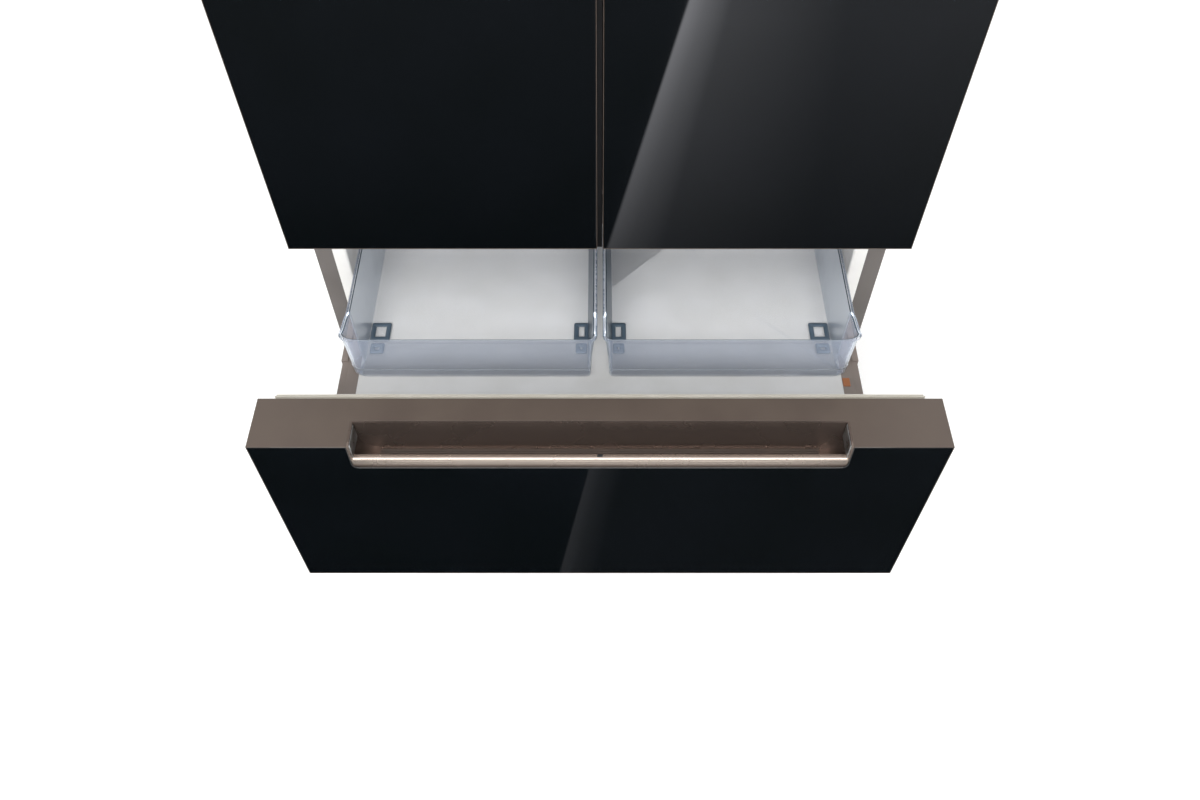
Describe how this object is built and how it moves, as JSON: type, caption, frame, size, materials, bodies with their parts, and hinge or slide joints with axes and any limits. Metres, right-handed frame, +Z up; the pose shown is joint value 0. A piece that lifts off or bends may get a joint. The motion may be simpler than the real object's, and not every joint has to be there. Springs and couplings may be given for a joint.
{
  "type": "multi-door refrigerator",
  "caption": "Tall refrigerator with two hinged glass doors over full-width freezer drawers with pocket handles; the upper drawer is drawn out and carries clear bins.",
  "frame": {"origin": "on the floor, under the centre of the part with its upper drawer drawn out 331 mm", "axes": "+Z up; +X to the right seen from the front; +Y from the doors towards the back"},
  "size_m": [0.908, 1.071, 1.85],
  "materials": {
    "black_glass": "black printed float glass, polished",
    "bronze_trim": "satin bronze, anodised",
    "cabinet_steel": "satin grey-brown powder coat",
    "zinc_steel": "zinc plated, satin",
    "arm_steel": "satin grey-brown paint",
    "white_plastic": "white polystyrene sheet, semi-gloss",
    "clear_plastic": "clear polystyrene, glossy",
    "shelf_glass": "toughened glass",
    "gasket_vinyl": "cream soft vinyl, matte",
    "foam": "rigid foam",
    "dark_plastic": "black plastic, fine grain",
    "grey_plastic": "grey plastic, fine grain",
    "compressor_black": "black enamel",
    "coil_aluminium": "bare aluminium",
    "coil_steel": "black painted steel tube",
    "lamp_lens": "frosted white lens"
  },
  "bodies": {
    "cabinet": {"outer_shell": "cabinet_steel", "back_panel": "zinc_steel", "fridge_liner": "white_plastic", "upper_freezer_liner": "white_plastic", "lower_freezer_liner": "white_plastic", "cross_rails": "cabinet_steel", "base_frame": "zinc_steel", "insulation_foam": "foam", "kick_plate": "dark_plastic", "door_hinges": "zinc_steel", "hinge_screws": "zinc_steel", "hinge_covers": "dark_plastic", "glass_shelf_middle": "shelf_glass", "glass_shelf_upper": "shelf_glass", "crisper_cover_shelf": "shelf_glass", "fridge_air_duct": "white_plastic", "ceiling_lamp": "lamp_lens", "fixed_rails": "zinc_steel", "evaporator": "coil_aluminium", "evaporator_cover": "white_plastic", "compressor": "compressor_black", "condenser_coil": "coil_steel", "machine_room_cover": "zinc_steel"},
    "front_foot_left": {"front_foot_left": "dark_plastic"},
    "front_foot_right": {"front_foot_right": "dark_plastic"},
    "rear_rollers": {"rear_rollers": "dark_plastic"},
    "left_door": {"left_door_glass": "black_glass", "left_door_frame": "bronze_trim", "left_door_liner": "white_plastic", "left_door_gasket": "gasket_vinyl", "left_door_racks": "clear_plastic"},
    "right_door": {"right_door_glass": "black_glass", "right_door_frame": "bronze_trim", "right_door_liner": "white_plastic", "right_door_gasket": "gasket_vinyl", "right_door_racks": "clear_plastic"},
    "centre_post": {"centre_post": "grey_plastic"},
    "crisper_left": {"crisper_left": "clear_plastic"},
    "crisper_right": {"crisper_right": "clear_plastic"},
    "upper_drawer": {"upper_drawer_frame": "bronze_trim", "upper_drawer_glass": "black_glass", "upper_drawer_handle": "bronze_trim", "upper_drawer_liner": "white_plastic", "upper_drawer_gasket": "gasket_vinyl", "upper_drawer_arms": "arm_steel", "upper_drawer_tray": "white_plastic", "upper_drawer_bin_left": "clear_plastic", "upper_drawer_bin_right": "clear_plastic", "upper_drawer_basket": "white_plastic"},
    "upper_middle_rails": {"upper_drawer_middle_rails": "zinc_steel"},
    "lower_drawer": {"lower_drawer_frame": "bronze_trim", "lower_drawer_glass": "black_glass", "lower_drawer_handle": "bronze_trim", "lower_drawer_liner": "white_plastic", "lower_drawer_gasket": "gasket_vinyl", "lower_drawer_arms": "arm_steel", "lower_drawer_bin": "clear_plastic"},
    "lower_middle_rails": {"lower_drawer_middle_rails": "zinc_steel"},
    "evaporator_fan": {"evaporator_fan": "dark_plastic"},
    "condenser_fan": {"condenser_fan": "dark_plastic"}
  },
  "joints": [
    {"name": "right_door_hinge", "type": "hinge", "parent": "cabinet", "child": "right_door", "pos_m": [0.44, -0.1595, 1.3], "axis": [0, 0, 1], "range_deg": [0, 120]},
    {"name": "left_door_hinge", "type": "hinge", "parent": "cabinet", "child": "left_door", "pos_m": [-0.44, -0.1595, 1.3], "axis": [0, 0, -1], "range_deg": [0, 120]},
    {"name": "centre_post_flip", "type": "hinge", "parent": "left_door", "child": "centre_post", "pos_m": [-0.0235, -0.0975, 1.3], "axis": [0, 0, -1], "range_deg": [0, 90]},
    {"name": "upper_drawer_slide", "type": "slide", "parent": "cabinet", "child": "upper_drawer", "axis": [0, -1, 0], "range_m": [-0.331, 0.129]},
    {"name": "upper_rail_slide", "type": "slide", "parent": "cabinet", "child": "upper_middle_rails", "axis": [0, -1, 0], "range_m": [-0.1655, 0.0645]},
    {"name": "lower_drawer_slide", "type": "slide", "parent": "cabinet", "child": "lower_drawer", "axis": [0, -1, 0], "range_m": [0, 0.36]},
    {"name": "lower_rail_slide", "type": "slide", "parent": "cabinet", "child": "lower_middle_rails", "axis": [0, -1, 0], "range_m": [0, 0.18]},
    {"name": "crisper_left_slide", "type": "slide", "parent": "cabinet", "child": "crisper_left", "axis": [0, -1, 0], "range_m": [0, 0.06]},
    {"name": "crisper_right_slide", "type": "slide", "parent": "cabinet", "child": "crisper_right", "axis": [0, -1, 0], "range_m": [0, 0.06]},
    {"name": "evaporator_fan_spin", "type": "hinge", "parent": "cabinet", "child": "evaporator_fan", "pos_m": [0, 0.4095, 0.697], "axis": [0, 1, 0], "continuous": true},
    {"name": "condenser_fan_spin", "type": "hinge", "parent": "cabinet", "child": "condenser_fan", "pos_m": [-0.07, 0.4255, 0.132], "axis": [1, 0, 0], "continuous": true},
    {"name": "left_foot_turn", "type": "hinge", "parent": "cabinet", "child": "front_foot_left", "pos_m": [-0.4, -0.0745, 0.015], "axis": [0, 0, 1], "continuous": true},
    {"name": "right_foot_turn", "type": "hinge", "parent": "cabinet", "child": "front_foot_right", "pos_m": [0.4, -0.0745, 0.015], "axis": [0, 0, 1], "continuous": true},
    {"name": "rear_rollers_spin", "type": "hinge", "parent": "cabinet", "child": "rear_rollers", "pos_m": [0, 0.4855, 0.013], "axis": [1, 0, 0], "continuous": true}
  ],
  "couplings": [
    {"joint": "upper_rail_slide", "follows": "upper_drawer_slide", "ratio": 0.5},
    {"joint": "lower_rail_slide", "follows": "lower_drawer_slide", "ratio": 0.5}
  ]
}
